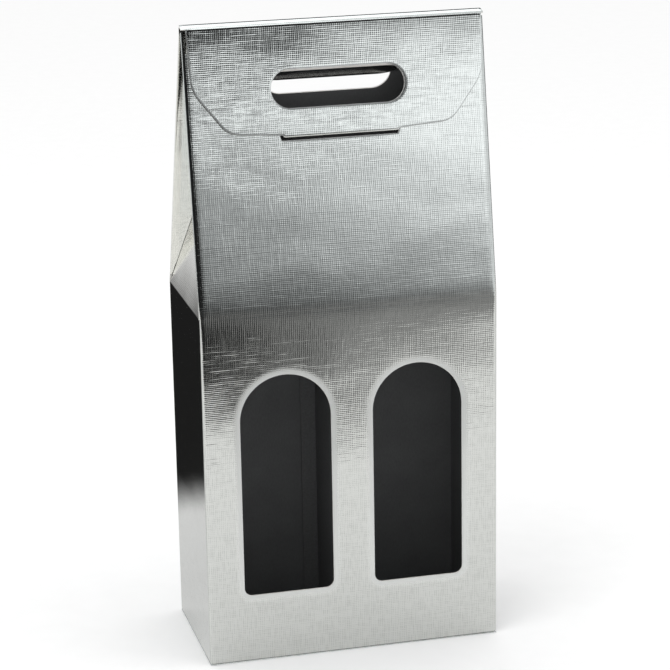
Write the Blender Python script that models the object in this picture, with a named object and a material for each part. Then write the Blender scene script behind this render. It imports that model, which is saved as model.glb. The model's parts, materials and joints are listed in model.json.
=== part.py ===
"""Two-bottle wine carrier: a folded gift carton in foil-faced board.

One creased and glued board blank makes the whole carrier. Each panel between two creases is a
rigid plate that folds about its crease, so each panel is an object of its own, drawn flat in its
own frame and then folded up. A panel's frame has X along its crease, Y away from it and Z out of
its foil face, and the board's thickness lies behind that face. The origin is the middle of the
base, +Z is up and the front, with the two windows, faces -Y.
"""
import math

import bmesh
import bpy
from mathutils import Matrix, Vector

# Board
BOARD = 0.0012            # thickness of the board
GAP = 0.0003              # running gap at creases and between layers

# Box
WIDTH = 0.180             # across both bottles
DEPTH = 0.0933            # front to back
WALL_HEIGHT = 0.2155      # base to the roof crease

# Ridge: the narrow strip on top, between the back roof panel and the closing flap
RIDGE_FRONT_HEIGHT = 0.3805   # height of the crease in front of the strip
RIDGE_SETBACK = 0.0270        # that crease behind the front wall
RIDGE_WIDTH = 0.00705
RIDGE_TILT = math.radians(18.2)

# Windows
WINDOW_WIDTH = 0.0552
WINDOW_SPACING = 0.0806   # centre to centre
WINDOW_BOTTOM = 0.0420
WINDOW_TOP = 0.1785       # crown of the arch
WINDOW_CORNER = 0.0050

# Closing flap, measured down from the crease in front of the ridge strip
FLAP_TOP_INSET = 0.0020       # side edge in from the box side at the crease
FLAP_SHOULDER_INSET = 0.0030  # side edge in from the box side at the shoulder
FLAP_SHOULDER = 0.0355
FLAP_HIP_INSET = 0.0232
FLAP_HIP = 0.0620
FLAP_EDGE = 0.0642            # lower edge beside the tuck tab
FLAP_LENGTH = 0.0655          # crease of the tuck tab
SHOULDER_RADIUS = 0.0240
HIP_RADIUS = 0.0140

# Tuck tab and the slit that it enters
TAB_WIDTH = 0.0680
TAB_LENGTH = 0.0105
TAB_TAPER = 0.0050
TAB_CORNER = 0.0040
TAB_END_CLEARANCE = 0.0008    # slit past the tab at each end
SLIT_SLANT = 0.0016           # the ends of the slit slant out towards its upper edge
TAB_UPPER_CLEARANCE = 0.0013
TAB_LOWER_CLEARANCE = 0.0017  # the tab swings through an arc as it leaves

# Hand holes
HOLE_LENGTH = 0.0810
HOLE_HEIGHT = 0.0224
HOLE_DROP = 0.0375            # centre below the front crease
BACK_HOLE_LENGTH = 0.0770
BACK_HOLE_HEIGHT = 0.0220
BACK_HOLE_DROP = 0.0390       # centre below the back crease
HOLE_TAB_CLEARANCE = 0.0005
HOLE_TAB_PUSH = math.radians(76.0)    # how far the hand hole's cut-out is pushed in

# Roof
FRONT_PANEL_DROP = 0.0140     # top edge of the front panel, clear of the flap as the roof opens
GUSSET_TOP_DROP = 0.0020      # top edge of the back gusset leaf below the ridge crease
GUSSET_TIP_DROP = 0.0240      # the tucked triangle stops this far below its own tip
GUSSET_LIP = 0.0010           # a leaf runs on past the triangle's face

# Base
LOCK_STEP = 0.0090            # half the step in the line where the two main panels lock
LOCK_RUN = 0.0160             # half the width of the slanted stretch of that line
BASE_FLAP_REACH = 0.0460
BASE_FLAP_TAPER = 0.0100
GLUE_CORNER_REACH = 0.0300

# Divider and seam
DIVIDER_HEIGHT = 0.1500
DIVIDER_FOOT = 0.0100
SEAM_WIDTH = 0.0150
SEAM_TAPER = 0.0080

ARC_STEP = math.radians(12.0)

# Derived sizes
HALF_WIDTH = WIDTH / 2
HALF_DEPTH = DEPTH / 2
RIGHT_ANGLE = math.radians(90.0)
FOLD_AXIS = BOARD + GAP / 2            # axis of a doubled fold, behind the foil face
FOLD_STACK = 2 * BOARD + GAP           # foil face to foil face across a doubled fold
LAYER = BOARD + GAP

ridge_front = Vector((-HALF_DEPTH + RIDGE_SETBACK, RIDGE_FRONT_HEIGHT))
ridge_back = ridge_front + RIDGE_WIDTH * Vector((math.cos(RIDGE_TILT), math.sin(RIDGE_TILT)))
front_rise = ridge_front - Vector((-HALF_DEPTH, WALL_HEIGHT))
back_rise = ridge_back - Vector((HALF_DEPTH, WALL_HEIGHT))

# The flap lies on the front roof panel, so the panel's own face is one layer behind the crease.
FRONT_LEAN = math.atan2(front_rise.x, front_rise.y) + math.asin(LAYER / front_rise.length)
FRONT_ROOF_LENGTH = math.sqrt(front_rise.length ** 2 - LAYER ** 2)
BACK_LEAN = math.atan2(-back_rise.x, back_rise.y)
BACK_ROOF_LENGTH = back_rise.length
RIDGE_LEAN = RIGHT_ANGLE + RIDGE_TILT
FLAP_LEAN = 2 * RIGHT_ANGLE - FRONT_LEAN
TAB_LEAN = FLAP_LEAN + RIGHT_ANGLE

# The tucked triangle's sides lie on the faces of the two gusset leaves.
FRONT_LEAF_START = FOLD_STACK / math.cos(FRONT_LEAN)
BACK_LEAF_START = FOLD_STACK / math.cos(BACK_LEAN)
GUSSET_TIP_RISE = ((DEPTH - FRONT_LEAF_START - BACK_LEAF_START)
                   / (math.tan(FRONT_LEAN) + math.tan(BACK_LEAN)))
GUSSET_LEAN = math.atan2(HALF_DEPTH, GUSSET_TIP_RISE)

FOIL = (0.72, 0.73, 0.73)
LINER = (0.16, 0.165, 0.17)

LEFT = -1
RIGHT = 1
SIDE_NAME = {LEFT: "left", RIGHT: "right"}

# Headings of the panels about +Z, from the front wall's
FRONT = 0.0
BACK = 2 * RIGHT_ANGLE
SIDE = {LEFT: -RIGHT_ANGLE, RIGHT: RIGHT_ANGLE}


def clear_scene():
    for item in list(bpy.data.objects):
        bpy.data.objects.remove(item, do_unlink=True)


def material(name, colour, roughness, metallic):
    made = bpy.data.materials.new(name)
    made.use_nodes = True
    shader = made.node_tree.nodes["Principled BSDF"]
    shader.inputs["Base Color"].default_value = (*colour, 1.0)
    shader.inputs["Roughness"].default_value = roughness
    shader.inputs["Metallic"].default_value = metallic
    made.diffuse_color = (*colour, 1.0)
    return made


def foil_material(name):
    return material(name + "_foil", FOIL, 0.30, 0.90)


def liner_material(name):
    return material(name + "_liner", LINER, 0.85, 0.0)


def corner(x, y, radius=0.0, fold=None):
    """One corner of a flat outline. fold is the fold angle of the edge that starts here."""
    return {"at": Vector((x, y)), "radius": radius, "fold": fold}


def edge_insets(corners, behind):
    """How far each edge steps in on the foil face, or with behind on the face behind it."""
    insets = []
    for item in corners:
        fold = item["fold"]
        if fold is None:
            insets.append(0.0)
            continue
        inset = GAP / 2 / math.cos(fold / 2)
        if behind:
            inset += BOARD * math.tan(fold / 2)
        insets.append(inset)
    return insets


def inset_corners(corners, insets):
    """Corners of a counter-clockwise outline after each edge has moved in by its inset."""
    moved = []
    count = len(corners)
    for i in range(count):
        before = corners[i - 1]["at"]
        here = corners[i]["at"]
        after = corners[(i + 1) % count]["at"]
        arriving = (here - before).normalized()
        leaving = (after - here).normalized()
        arriving_side = Vector((-arriving.y, arriving.x)) * insets[i - 1]
        leaving_side = Vector((-leaving.y, leaving.x)) * insets[i]
        cross = arriving.x * leaving.y - arriving.y * leaving.x
        offset = leaving_side - arriving_side
        along = (offset.x * leaving.y - offset.y * leaving.x) / cross
        moved.append(here + arriving_side + arriving * along)
    return moved


def round_corners(points, radii):
    """Outline through the points, with an arc of each corner's radius in place of the corner."""
    outline = []
    count = len(points)
    for i in range(count):
        here = points[i]
        if radii[i] == 0.0:
            outline.append(here)
            continue
        arriving = (here - points[i - 1]).normalized()
        leaving = (points[(i + 1) % count] - here).normalized()
        turn = arriving.angle_signed(leaving)
        bend = abs(turn)
        setback = radii[i] * math.tan(bend / 2)
        sideways = Vector((-arriving.y, arriving.x)) * math.copysign(radii[i], -turn)
        start = here - arriving * setback
        centre = start + sideways
        steps = max(2, math.ceil(bend / ARC_STEP))
        for step in range(steps + 1):
            swing = math.copysign(bend * step / steps, -turn)
            outline.append(centre + Matrix.Rotation(swing, 2) @ (start - centre))
    return outline


def plate(corners, holes=(), face=0.0):
    """Closed mesh of one panel: its outline and holes, with mitred creases, one board thick."""
    radii = [item["radius"] for item in corners]
    outer = round_corners(inset_corners(corners, edge_insets(corners, False)), radii)
    inner = round_corners(inset_corners(corners, edge_insets(corners, True)), radii)
    bm = bmesh.new()
    loops = [(outer, inner)] + [(hole, hole) for hole in holes]
    front_edges = []
    back_edges = []
    for front_points, back_points in loops:
        front = [bm.verts.new((p.x, p.y, face)) for p in front_points]
        back = [bm.verts.new((p.x, p.y, face - BOARD)) for p in back_points]
        for i in range(len(front)):
            j = (i + 1) % len(front)
            front_edges.append(bm.edges.new((front[i], front[j])))
            back_edges.append(bm.edges.new((back[i], back[j])))
            bm.faces.new((front[i], front[j], back[j], back[i]))
    bmesh.ops.triangle_fill(bm, use_beauty=True, edges=front_edges, normal=(0.0, 0.0, 1.0))
    bmesh.ops.triangle_fill(bm, use_beauty=True, edges=back_edges, normal=(0.0, 0.0, -1.0))
    bmesh.ops.recalc_face_normals(bm, faces=bm.faces)
    return bm


def place(name, bm, frame, finish):
    """Make the object of a mesh, with its own material, and put its frame in the world."""
    mesh = bpy.data.meshes.new(name)
    bm.to_mesh(mesh)
    bm.free()
    mesh.materials.append(finish)
    made = bpy.data.objects.new(name, mesh)
    bpy.context.scene.collection.objects.link(made)
    made.matrix_world = frame
    return made


def crease_frame(heading, lean, at):
    """Frame of a panel on a level crease. heading turns the front wall's frame about +Z, and
    lean tips the panel in from upright, on past level where it folds over."""
    turn = Matrix.Rotation(heading, 4, "Z") @ Matrix.Rotation(RIGHT_ANGLE - lean, 4, "X")
    return Matrix.Translation(at) @ turn


def arc(centre, radius, start, sweep):
    """Points along a counter-clockwise arc, both of its ends included."""
    steps = math.ceil(sweep / ARC_STEP)
    points = []
    for step in range(steps + 1):
        angle = start + sweep * step / steps
        points.append(centre + radius * Vector((math.cos(angle), math.sin(angle))))
    return points


def stadium(middle, length, height):
    """Outline of a slot with round ends."""
    end = height / 2
    reach = length / 2 - end
    outline = arc(Vector((reach, middle)), end, -RIGHT_ANGLE, 2 * RIGHT_ANGLE)
    outline += arc(Vector((-reach, middle)), end, RIGHT_ANGLE, 2 * RIGHT_ANGLE)
    return outline


def arched_window(middle):
    """Outline of a window with a round head and small radii at its sill."""
    half = WINDOW_WIDTH / 2
    spring = WINDOW_TOP - half
    low = WINDOW_BOTTOM + WINDOW_CORNER
    reach = half - WINDOW_CORNER
    outline = arc(Vector((middle, spring)), half, 0.0, 2 * RIGHT_ANGLE)
    outline += arc(Vector((middle - reach, low)), WINDOW_CORNER, 2 * RIGHT_ANGLE, RIGHT_ANGLE)
    outline += arc(Vector((middle + reach, low)), WINDOW_CORNER, 3 * RIGHT_ANGLE, RIGHT_ANGLE)
    return outline


def wall(name, half_span, heading, at, roof_fold, windows=()):
    """Upright wall, creased to its neighbours, to the base and to the roof."""
    outline = [corner(-half_span, 0.0, fold=RIGHT_ANGLE),
               corner(half_span, 0.0, fold=RIGHT_ANGLE),
               corner(half_span, WALL_HEIGHT, fold=roof_fold),
               corner(-half_span, WALL_HEIGHT, fold=RIGHT_ANGLE)]
    place(name, plate(outline, windows), crease_frame(heading, 0.0, at), foil_material(name))


def front_wall():
    windows = [arched_window(-WINDOW_SPACING / 2), arched_window(WINDOW_SPACING / 2)]
    wall("front_wall", HALF_WIDTH, FRONT, (0.0, -HALF_DEPTH, 0.0), FRONT_LEAN, windows)


def back_wall():
    wall("back_wall", HALF_WIDTH, BACK, (0.0, HALF_DEPTH, 0.0), BACK_LEAN)


def side_wall(side):
    name = SIDE_NAME[side] + "_side_wall"
    wall(name, HALF_DEPTH, SIDE[side], (side * HALF_WIDTH, 0.0, 0.0), GUSSET_LEAN)


def glue_flap():
    """Seam flap of the back wall, glued inside the left wall."""
    start = -HALF_DEPTH + BOARD + GAP
    top = WALL_HEIGHT - SEAM_TAPER
    outline = [corner(start, SEAM_TAPER), corner(start + SEAM_WIDTH, 2 * SEAM_TAPER),
               corner(start + SEAM_WIDTH, top - SEAM_TAPER), corner(start, top)]
    frame = crease_frame(SIDE[LEFT], 0.0, (-HALF_WIDTH, 0.0, 0.0))
    place("glue_flap", plate(outline, face=-LAYER), frame, liner_material("glue_flap"))


def base_frame():
    """Frame of the base as seen from below, with X to the right and Y to the front."""
    return Matrix.Rotation(math.radians(180.0), 4, "X")


def base_main_panel(name, side):
    """Main base panel of the front or back wall. The two lock along a stepped middle line, and
    one is the other turned half round."""
    lock = [(-HALF_WIDTH, -LOCK_STEP), (-LOCK_RUN, -LOCK_STEP),
            (LOCK_RUN, LOCK_STEP), (HALF_WIDTH, LOCK_STEP)]
    outline = [corner(side * x, side * y + side * GAP / 2) for x, y in lock]
    outline[-1]["fold"] = RIGHT_ANGLE
    outline.append(corner(side * HALF_WIDTH, side * HALF_DEPTH, fold=RIGHT_ANGLE))
    outline.append(corner(side * -HALF_WIDTH, side * HALF_DEPTH, fold=RIGHT_ANGLE))
    place(name, plate(outline), base_frame(), foil_material(name))


def base_side_flap(side):
    """Side base flap, on top of the two main panels, and the glued corner past its diagonal
    crease."""
    flap_name = "base_" + SIDE_NAME[side] + "_flap"
    glued_name = "base_" + SIDE_NAME[side] + "_glue_corner"
    start = HALF_WIDTH - LAYER
    half = HALF_DEPTH - LAYER
    crease = GAP / 2 * math.sqrt(2.0)
    cut = start - GLUE_CORNER_REACH
    flap = [(start, -half), (start, half - GLUE_CORNER_REACH - crease), (cut - crease, half),
            (start - BASE_FLAP_REACH, half), (start - BASE_FLAP_REACH, -half + BASE_FLAP_TAPER)]
    glued = [(start, half), (cut + crease, half), (start, half - GLUE_CORNER_REACH + crease)]
    for name, points in ((flap_name, flap), (glued_name, glued)):
        outline = [corner(side * x, side * y) for x, y in points]
        place(name, plate(outline, face=-LAYER), base_frame(), liner_material(name))


def bottle_divider():
    """Upright divider between the bottles, with one glued foot on each wall."""
    front = -HALF_DEPTH + LAYER
    back = HALF_DEPTH - LAYER
    half = BOARD / 2
    plan = [(-half, front), (DIVIDER_FOOT, front), (DIVIDER_FOOT, front + BOARD),
            (half, front + BOARD), (half, back), (-DIVIDER_FOOT, back),
            (-DIVIDER_FOOT, back - BOARD), (-half, back - BOARD)]
    bm = bmesh.new()
    face = bm.faces.new([bm.verts.new((x, y, LAYER)) for x, y in plan])
    grown = bmesh.ops.extrude_face_region(bm, geom=[face])
    lifted = [item for item in grown["geom"] if isinstance(item, bmesh.types.BMVert)]
    bmesh.ops.translate(bm, vec=(0.0, 0.0, DIVIDER_HEIGHT - LAYER), verts=lifted)
    bmesh.ops.recalc_face_normals(bm, faces=bm.faces)
    place("bottle_divider", bm, Matrix.Identity(4), liner_material("bottle_divider"))


def front_roof_frame():
    return crease_frame(FRONT, FRONT_LEAN, (0.0, -HALF_DEPTH, WALL_HEIGHT))


def back_roof_frame():
    return crease_frame(BACK, BACK_LEAN, (0.0, HALF_DEPTH, WALL_HEIGHT))


def slit():
    """Outline of the slit in the front roof panel, round the tuck tab."""
    half = TAB_WIDTH / 2 + TAB_END_CLEARANCE
    low = FRONT_ROOF_LENGTH - FLAP_LENGTH - TAB_LOWER_CLEARANCE
    high = FRONT_ROOF_LENGTH - FLAP_LENGTH + BOARD + TAB_UPPER_CLEARANCE
    upper = half + SLIT_SLANT
    return [Vector((-half, low)), Vector((half, low)), Vector((upper, high)), Vector((-upper, high))]


def front_roof_panel():
    top = FRONT_ROOF_LENGTH - FRONT_PANEL_DROP
    outline = [corner(-HALF_WIDTH, 0.0, fold=FRONT_LEAN), corner(HALF_WIDTH, 0.0),
               corner(HALF_WIDTH, top), corner(-HALF_WIDTH, top)]
    hole = stadium(FRONT_ROOF_LENGTH - HOLE_DROP, HOLE_LENGTH, HOLE_HEIGHT)
    bm = plate(outline, [hole, slit()])
    place("front_roof_panel", bm, front_roof_frame(), foil_material("front_roof_panel"))


def back_roof_panel():
    outline = [corner(-HALF_WIDTH, 0.0, fold=BACK_LEAN), corner(HALF_WIDTH, 0.0),
               corner(HALF_WIDTH, BACK_ROOF_LENGTH, fold=RIDGE_LEAN - BACK_LEAN),
               corner(-HALF_WIDTH, BACK_ROOF_LENGTH)]
    hole = stadium(BACK_ROOF_LENGTH - BACK_HOLE_DROP, BACK_HOLE_LENGTH, BACK_HOLE_HEIGHT)
    bm = plate(outline, [hole])
    place("back_roof_panel", bm, back_roof_frame(), foil_material("back_roof_panel"))


def ridge_strip():
    outline = [corner(-HALF_WIDTH, 0.0, fold=RIDGE_LEAN - BACK_LEAN), corner(HALF_WIDTH, 0.0),
               corner(HALF_WIDTH, RIDGE_WIDTH, fold=FLAP_LEAN - RIDGE_LEAN),
               corner(-HALF_WIDTH, RIDGE_WIDTH)]
    frame = crease_frame(BACK, RIDGE_LEAN, (0.0, ridge_back.x, ridge_back.y))
    place("ridge_strip", plate(outline), frame, foil_material("ridge_strip"))


def closing_flap():
    """Flap over the front roof panel: cut-off corners, a hand hole and the tab crease."""
    right = [(HALF_WIDTH - FLAP_TOP_INSET, 0.0, 0.0, None),
             (HALF_WIDTH - FLAP_SHOULDER_INSET, FLAP_SHOULDER, SHOULDER_RADIUS, None),
             (HALF_WIDTH - FLAP_HIP_INSET, FLAP_HIP, HIP_RADIUS, None),
             (TAB_WIDTH / 2 + TAB_END_CLEARANCE, FLAP_EDGE, 0.0, None),
             (TAB_WIDTH / 2, FLAP_LENGTH, 0.0, RIGHT_ANGLE)]
    outline = [corner(x, y, radius, fold) for x, y, radius, fold in right]
    outline += [corner(-x, y, radius) for x, y, radius, fold in reversed(right)]
    outline[-1]["fold"] = FLAP_LEAN - RIDGE_LEAN
    hole = stadium(HOLE_DROP, HOLE_LENGTH, HOLE_HEIGHT)
    frame = crease_frame(BACK, FLAP_LEAN, (0.0, ridge_front.x, ridge_front.y))
    place("closing_flap", plate(outline, [hole]), frame, foil_material("closing_flap"))


def tuck_tab():
    """Tab at the flap's lower edge, folded square and pushed through the slit."""
    half = TAB_WIDTH / 2
    outline = [corner(-half, 0.0, fold=RIGHT_ANGLE), corner(half, 0.0),
               corner(half - TAB_TAPER, TAB_LENGTH, TAB_CORNER),
               corner(-half + TAB_TAPER, TAB_LENGTH, TAB_CORNER)]
    down = Vector((0.0, -math.sin(FLAP_LEAN), math.cos(FLAP_LEAN)))
    at = Vector((0.0, ridge_front.x, ridge_front.y)) + down * FLAP_LENGTH
    frame = crease_frame(BACK, TAB_LEAN, at)
    place("tuck_tab", plate(outline), frame, foil_material("tuck_tab"))


def hand_hole_tab():
    """Cut-out of the front roof panel's hand hole, still joined along the top and pushed in."""
    length = HOLE_LENGTH - 2 * HOLE_TAB_CLEARANCE
    height = HOLE_HEIGHT - 2 * HOLE_TAB_CLEARANCE
    middle = -HOLE_HEIGHT / 2
    outline = [corner(p.x, p.y) for p in stadium(middle, length, height)]
    top = FRONT_ROOF_LENGTH - HOLE_DROP + HOLE_HEIGHT / 2
    hinge = front_roof_frame() @ Matrix.Translation((0.0, top, -BOARD))
    frame = hinge @ Matrix.Rotation(HOLE_TAB_PUSH, 4, "X")
    place("hand_hole_tab", plate(outline, face=BOARD), frame, foil_material("hand_hole_tab"))


def gusset_leaf(side, where, roof_frame, lean, length, top_drop):
    """Leaf of a gusset, doubled back behind the edge of a roof panel. It runs out to the line
    where the tucked triangle meets its face."""
    name = SIDE_NAME[side] + "_gusset_" + where + "_leaf"
    top = length - top_drop
    slope = math.cos(lean) * math.tan(GUSSET_LEAN)
    start = FOLD_STACK * math.sin(lean) * math.tan(GUSSET_LEAN) + FOLD_AXIS - GUSSET_LIP
    low = (start + GUSSET_LIP) / slope
    mirror = side if where == "front" else -side
    points = [(0.0, low), (0.0, top), (mirror * (top * slope - start), top)]
    if mirror > 0:
        points.reverse()
    outline = [corner(x, y) for x, y in points]
    hinge = Matrix.Translation((mirror * (HALF_WIDTH - FOLD_AXIS), 0.0, -FOLD_AXIS))
    fold = Matrix.Rotation(mirror * math.radians(180.0), 4, "Y")
    frame = roof_frame @ hinge @ fold
    place(name, plate(outline, face=FOLD_AXIS), frame, foil_material(name))


def gusset_triangle(side):
    """Triangle of a gusset, tucked in above the side wall, between the two leaves."""
    name = SIDE_NAME[side] + "_gusset_triangle"
    top = GUSSET_TIP_RISE / math.cos(GUSSET_LEAN) - GUSSET_TIP_DROP
    rise = top * math.cos(GUSSET_LEAN)
    front_low = HALF_DEPTH - FRONT_LEAF_START - GAP
    back_low = HALF_DEPTH - BACK_LEAF_START - GAP
    front_high = front_low - rise * math.tan(FRONT_LEAN)
    back_high = back_low - rise * math.tan(BACK_LEAN)
    points = [(-back_low, 0.0), (front_low, 0.0), (front_high, top), (-back_high, top)]
    if side == RIGHT:
        points = [(-x, y) for x, y in (points[1], points[0], points[3], points[2])]
    outline = [corner(x, y) for x, y in points]
    outline[0]["fold"] = GUSSET_LEAN
    at = (side * HALF_WIDTH, 0.0, WALL_HEIGHT)
    frame = crease_frame(SIDE[side], GUSSET_LEAN, at)
    place(name, plate(outline), frame, foil_material(name))


def gusset(side):
    gusset_triangle(side)
    gusset_leaf(side, "front", front_roof_frame(), FRONT_LEAN, FRONT_ROOF_LENGTH,
                FRONT_PANEL_DROP)
    gusset_leaf(side, "back", back_roof_frame(), BACK_LEAN, BACK_ROOF_LENGTH, GUSSET_TOP_DROP)


def box():
    front_wall()
    back_wall()
    side_wall(LEFT)
    side_wall(RIGHT)
    glue_flap()
    base_main_panel("base_front_panel", 1)
    base_main_panel("base_back_panel", -1)
    base_side_flap(LEFT)
    base_side_flap(RIGHT)
    bottle_divider()


def roof():
    front_roof_panel()
    back_roof_panel()
    ridge_strip()
    closing_flap()
    tuck_tab()
    hand_hole_tab()
    gusset(LEFT)
    gusset(RIGHT)


clear_scene()
box()
roof()
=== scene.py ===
"""Looks of the two-bottle wine carrier: silver foil board with a fine linen emboss.

Every panel of the folded carton is a board of its own, drawn flat in its panel's frame: X along
the crease, Y away from it and Z out of the foil face. Its foil face bends over at the creases and
presses in at the cut edges, a white core shows at the cuts, and a dark grey liner is behind.
"""
import json
import math

import bmesh
import bpy
import numpy as np
from mathutils import Matrix, Vector, kdtree
from mathutils.geometry import delaunay_2d_cdt

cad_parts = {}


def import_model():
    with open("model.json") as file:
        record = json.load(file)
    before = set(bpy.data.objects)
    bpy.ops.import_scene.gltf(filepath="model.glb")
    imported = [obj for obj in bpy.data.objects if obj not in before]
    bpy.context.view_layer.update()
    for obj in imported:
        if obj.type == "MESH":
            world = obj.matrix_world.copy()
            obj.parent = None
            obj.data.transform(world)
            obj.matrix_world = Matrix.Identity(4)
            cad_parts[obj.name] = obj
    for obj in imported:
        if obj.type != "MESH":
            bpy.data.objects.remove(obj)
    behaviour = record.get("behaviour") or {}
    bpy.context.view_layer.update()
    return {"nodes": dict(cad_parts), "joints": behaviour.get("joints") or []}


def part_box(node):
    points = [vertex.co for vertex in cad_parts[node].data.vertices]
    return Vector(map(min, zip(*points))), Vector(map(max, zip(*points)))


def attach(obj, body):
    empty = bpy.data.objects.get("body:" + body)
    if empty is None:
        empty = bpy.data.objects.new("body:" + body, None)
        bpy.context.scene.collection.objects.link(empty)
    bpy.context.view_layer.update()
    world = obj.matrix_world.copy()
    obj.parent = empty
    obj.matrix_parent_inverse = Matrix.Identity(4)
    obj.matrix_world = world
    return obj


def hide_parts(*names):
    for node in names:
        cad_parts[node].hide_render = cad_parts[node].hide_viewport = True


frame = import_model()

crease_at = {joint["name"]: Vector(joint["pos_m"]) for joint in frame["joints"]}

# Board
BOARD = 0.0012
FOLD_AXIS = 0.00135  # axis of a doubled fold, behind the foil face

# Outlines, as in the construction
WINDOW_WIDTH = 0.0552
WINDOW_SPACING = 0.0806
WINDOW_BOTTOM = 0.0420
WINDOW_TOP = 0.1785
WINDOW_CORNER = 0.0050
FLAP_TOP_INSET = 0.0020
FLAP_SHOULDER_INSET = 0.0030
FLAP_SHOULDER = 0.0355
FLAP_HIP_INSET = 0.0232
FLAP_HIP = 0.0620
FLAP_EDGE = 0.0642
SHOULDER_RADIUS = 0.0240
HIP_RADIUS = 0.0140
TAB_WIDTH = 0.0680
TAB_LENGTH = 0.0105
TAB_TAPER = 0.0050
TAB_CORNER = 0.0040
TAB_END_CLEARANCE = 0.0008
SLIT_SLANT = 0.0016
TAB_UPPER_CLEARANCE = 0.0013
TAB_LOWER_CLEARANCE = 0.0017
HOLE_LENGTH = 0.0810
HOLE_HEIGHT = 0.0224
HOLE_DROP = 0.0375
BACK_HOLE_LENGTH = 0.0770
BACK_HOLE_HEIGHT = 0.0220
BACK_HOLE_DROP = 0.0390
HOLE_TAB_CLEARANCE = 0.0005
FRONT_PANEL_DROP = 0.0140
EAR_DROP = 0.0020  # the turned edge of the front panel runs on up to here
TOUCH = 0.0003  # clearance on both sides of the turned edge beside the flap
CLOSE = 0.0001  # clearance of a triangle from the folds beside it
LEAF_TUCK = 0.0020  # a leaf's slanted edge reaches in behind the triangle's
LEAF_SPRING = math.tan(math.radians(27.0))  # slope of a leaf's face, sprung off the panel
RIDGE_ROLL = math.tan(math.radians(17.0))  # slope of the ridge strip's face by its back crease
ROLL_WIDTH = 0.0034  # how far from that crease the slope reaches
FLAP_SHIFT = 0.0007  # the flap closed a little to the right of the panel under it

# Folds and pressed edges
WALL_BEND = 0.0022  # outer radius of the upright edges
BASE_BEND = 0.0018
FRONT_ROOF_BEND = 0.1100  # the front wall rolls into the roof without a sharp line
BACK_ROOF_BEND = 0.0160
GUSSET_BEND = 0.0030
RIDGE_BEND = 0.0026
FLAP_BEND = 0.0026
TAB_BEND = 0.0012
TURN_WIDTH = 0.0046  # how far in a doubled edge starts to turn over
TURN_FADE = 0.0120  # over this length from a crease it grows out of a wall's rounding
TURN_SLOW = 0.55  # share of a turned edge's drop that is in its slow roll
SLOW_POWER = 1.7
TIGHT_POWER = 6
CRINKLE_ZONE = 0.006  # how far in from a turned edge the foil is crinkled
HOLE_PRESS = (0.00015, 0.0052)  # depth and width of the pressed rim round the windows
GRIP_PRESS = (0.00012, 0.0010)  # the same round the hand holes
EDGE_PRESS = (0.00012, 0.0012)  # the same along the other cut edges
NO_PRESS = (0.0, 0.001)

# Points of the meshes. LOOPS are their distances from an edge, written in mm, kept in metres.
LOOPS = [d / 1000.0 for d in (0.0, 0.015, 0.06, 0.14, 0.25, 0.4, 0.6, 0.85, 1.15, 1.5, 1.9, 2.4,
                              2.9, 3.4, 3.9, 4.5, 5.2)]
ROWS = LOOPS[3:]  # those of the rows beside a folded edge
ROW_SLACK = 1.1  # a row point may be this much nearer to an edge than the first row
NO_BANDS, SLIM_BANDS, NARROW_BANDS, WIDE_BANDS = LOOPS[0], LOOPS[9], LOOPS[11], LOOPS[-1]
GRID = 0.0065
GRID_CLEAR = 0.4  # least share of the grid's step between its points and a loop
EDGE_STEP = 0.0060
ARC_STEP = math.radians(5.0)
EAR_STEPS = 9
SLIVER = 1e-9  # triangles smaller than this, in square metres, bound nothing
MESH_TOLERANCE = 1e-8
SAME_POINT = 0.00001
PARALLEL = 0.0001  # edges whose angle has a smaller sine run on in one line
LEAST_MITRE = 0.3
FAR = 1.0  # further than any two points of a panel
BOARD_SHARP = math.radians(35.0)
EAR_SHARP = math.radians(40.0)

RIGHT_ANGLE = math.radians(90.0)
LEFT = -1
RIGHT = 1
SIDE_NAME = {LEFT: "left", RIGHT: "right"}
FRONT = 0.0
BACK = 2 * RIGHT_ANGLE
SIDE = {LEFT: -RIGHT_ANGLE, RIGHT: RIGHT_ANGLE}

# Sizes that the frame gives
back_crease = crease_at["back_roof_crease"]
ridge_back = crease_at["ridge_crease"]
ridge_front = crease_at["flap_crease"]
tab_crease = crease_at["tuck_tab_crease"]
HALF_WIDTH = abs(crease_at["left_gusset_crease"].x)
HALF_DEPTH = back_crease.y
WALL_HEIGHT = back_crease.z
HALF_ROUND = HALF_WIDTH + HALF_DEPTH  # from the middle of the front to that of a side
FLAP_LENGTH = (tab_crease - ridge_front).length
RIDGE_WIDTH = (ridge_front - ridge_back).length
BACK_ROOF_LENGTH = (ridge_back - back_crease).length
BACK_LEAN = math.atan2(back_crease.y - ridge_back.y, ridge_back.z - back_crease.z)
FLAP_LEAN = math.pi - math.atan2(ridge_front.y - tab_crease.y, ridge_front.z - tab_crease.z)
FRONT_LEAN = math.pi - FLAP_LEAN
RIDGE_LEAN = RIGHT_ANGLE + math.asin((ridge_back.z - ridge_front.z) / RIDGE_WIDTH)
TAB_LEAN = FLAP_LEAN + RIGHT_ANGLE
FRONT_ROOF_LENGTH = (ridge_front.z - WALL_HEIGHT) * math.cos(FRONT_LEAN)
FRONT_ROOF_LENGTH += (ridge_front.y + HALF_DEPTH) * math.sin(FRONT_LEAN)


def corner(x, y, edge="cut", radius=0.0, fold=0.0, bend=0.001, press=NO_PRESS):
    """A corner of an outline and the edge that starts there: a cut, a crease or a turned edge."""
    return {"at": Vector((x, y)), "edge": edge, "radius": radius, "fold": fold, "bend": bend,
            "press": press}


def crease(x, y, fold, bend):
    return corner(x, y, "crease", fold=fold, bend=bend)


def turned(x, y):
    return corner(x, y, "turned")


def edge_inset(item, behind):
    """How far an edge's boundary lies in from its line, on the foil face or behind it."""
    if item["edge"] == "crease":
        if behind:
            return BOARD * math.tan(item["fold"] / 2)
        return item["bend"] * (math.tan(item["fold"] / 2) - math.sin(item["fold"] / 2))
    if item["edge"] == "turned" and behind:
        return BOARD
    return 0.0


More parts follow.
